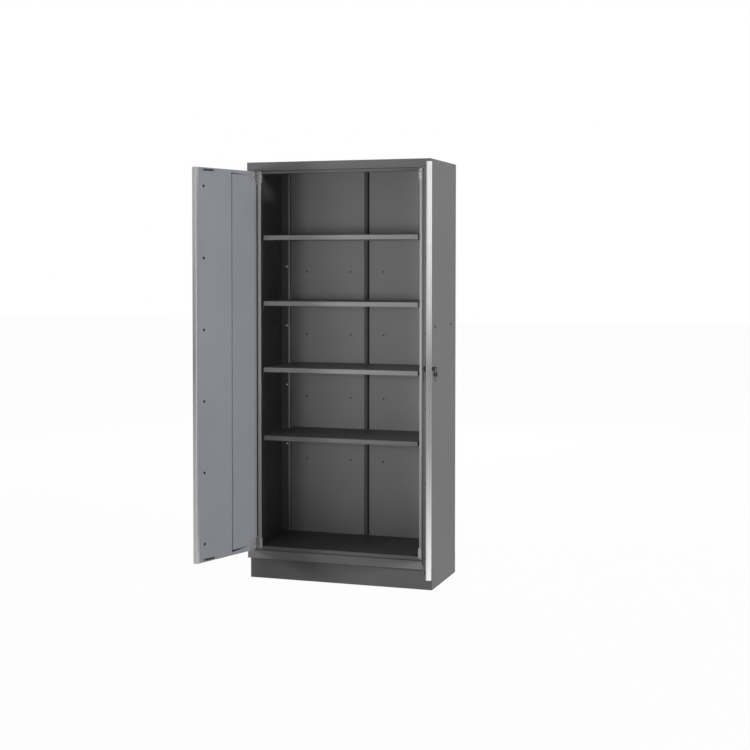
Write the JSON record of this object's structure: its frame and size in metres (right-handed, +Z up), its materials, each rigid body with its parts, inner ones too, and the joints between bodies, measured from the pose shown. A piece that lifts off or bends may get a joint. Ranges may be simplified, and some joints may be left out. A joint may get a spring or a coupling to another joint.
{
  "type": "workshop cabinet",
  "caption": "Tall dark sheet-steel workshop cabinet on a plinth, with lipped shelves behind two open hinged doors that have bright metal edge profiles and a key lock.",
  "frame": {"origin": "on the floor, at mid width, in the plane of the cabinet's back", "axes": "+Z up, +X to the right of someone who faces the doors, +Y to the back. The doors are stored open."},
  "size_m": [1.1415, 0.8653, 2],
  "materials": {
    "anthracite_paint": "satin powder coat, dark grey",
    "edge_aluminium": "satin drawn profile",
    "plated_steel": "bright zinc plate",
    "catch_black": "matte black",
    "seal_black": "dull black",
    "key_plastic": "fine-grained black",
    "lock_black": "black plate"
  },
  "bodies": {
    "cabinet": {"top_panel": "anthracite_paint", "floor_panel": "anthracite_paint", "back_centre_strip": "anthracite_paint", "back_joint_seal": "seal_black", "top_rail": "anthracite_paint", "bottom_rail": "anthracite_paint", "kick_plate": "anthracite_paint", "plinth_rear_rail": "anthracite_paint", "shelf_clips": "plated_steel", "upright_screws": "plated_steel", "frame_hinge_screws": "plated_steel", "shelf_1": "anthracite_paint", "shelf_2": "anthracite_paint", "shelf_3": "anthracite_paint", "shelf_4": "anthracite_paint", "left_side_panel": "anthracite_paint", "right_side_panel": "anthracite_paint", "left_back_panel": "anthracite_paint", "right_back_panel": "anthracite_paint", "left_front_post": "anthracite_paint", "right_front_post": "anthracite_paint", "left_rear_upright": "anthracite_paint", "right_rear_upright": "anthracite_paint", "left_floor_bearer": "anthracite_paint", "right_floor_bearer": "anthracite_paint", "left_plinth_side": "anthracite_paint", "right_plinth_side": "anthracite_paint", "left_frame_hinges": "plated_steel", "right_frame_hinges": "plated_steel", "left_hinge_pins": "plated_steel", "right_hinge_pins": "plated_steel"},
    "left_door": {"left_door_skin": "anthracite_paint", "left_door_inner_panel": "anthracite_paint", "left_door_stiffener": "anthracite_paint", "left_door_edge_profile": "edge_aluminium", "left_door_catches": "catch_black", "left_door_hinge_leaves": "plated_steel", "left_door_screws": "plated_steel"},
    "right_door": {"right_door_skin": "anthracite_paint", "right_door_inner_panel": "anthracite_paint", "right_door_stiffener": "anthracite_paint", "right_door_edge_profile": "edge_aluminium", "right_door_catches": "catch_black", "right_door_hinge_leaves": "plated_steel", "right_door_screws": "plated_steel", "lock_barrel": "lock_black", "lock_plate": "plated_steel", "lock_nut": "plated_steel"},
    "lock_core": {"lock_plug": "lock_black", "lock_cam": "plated_steel", "cam_screw": "plated_steel", "key_blade": "plated_steel", "key_bow": "key_plastic"},
    "key_ring": {"key_ring": "plated_steel"},
    "spare_key": {"spare_key_blade": "plated_steel", "spare_key_bow": "key_plastic"}
  },
  "joints": [
    {"name": "left_door_hinge", "type": "hinge", "parent": "cabinet", "child": "left_door", "pos_m": [-0.4275, -0.4535, 1.05], "axis": [0, 0, -1], "range_deg": [-107, 5]},
    {"name": "right_door_hinge", "type": "hinge", "parent": "cabinet", "child": "right_door", "pos_m": [0.4275, -0.4535, 1.05], "axis": [0, 0, 1], "range_deg": [-108.5, 3.5]},
    {"name": "lock_turn", "type": "hinge", "parent": "right_door", "child": "lock_core", "pos_m": [0.55693, -0.81196, 1.06], "axis": [-0.9483, -0.3173, 0], "range_deg": [0, 90]},
    {"name": "key_ring_swing", "type": "hinge", "parent": "lock_core", "child": "key_ring", "pos_m": [0.57305, -0.80656, 1.05813], "axis": [0.3173, -0.9483, 0], "range_deg": [-5, 60]},
    {"name": "spare_key_slide", "type": "hinge", "parent": "key_ring", "child": "spare_key", "pos_m": [0.57305, -0.80656, 1.05163], "axis": [0.9483, 0.3173, 0], "range_deg": [-60, 60]}
  ]
}
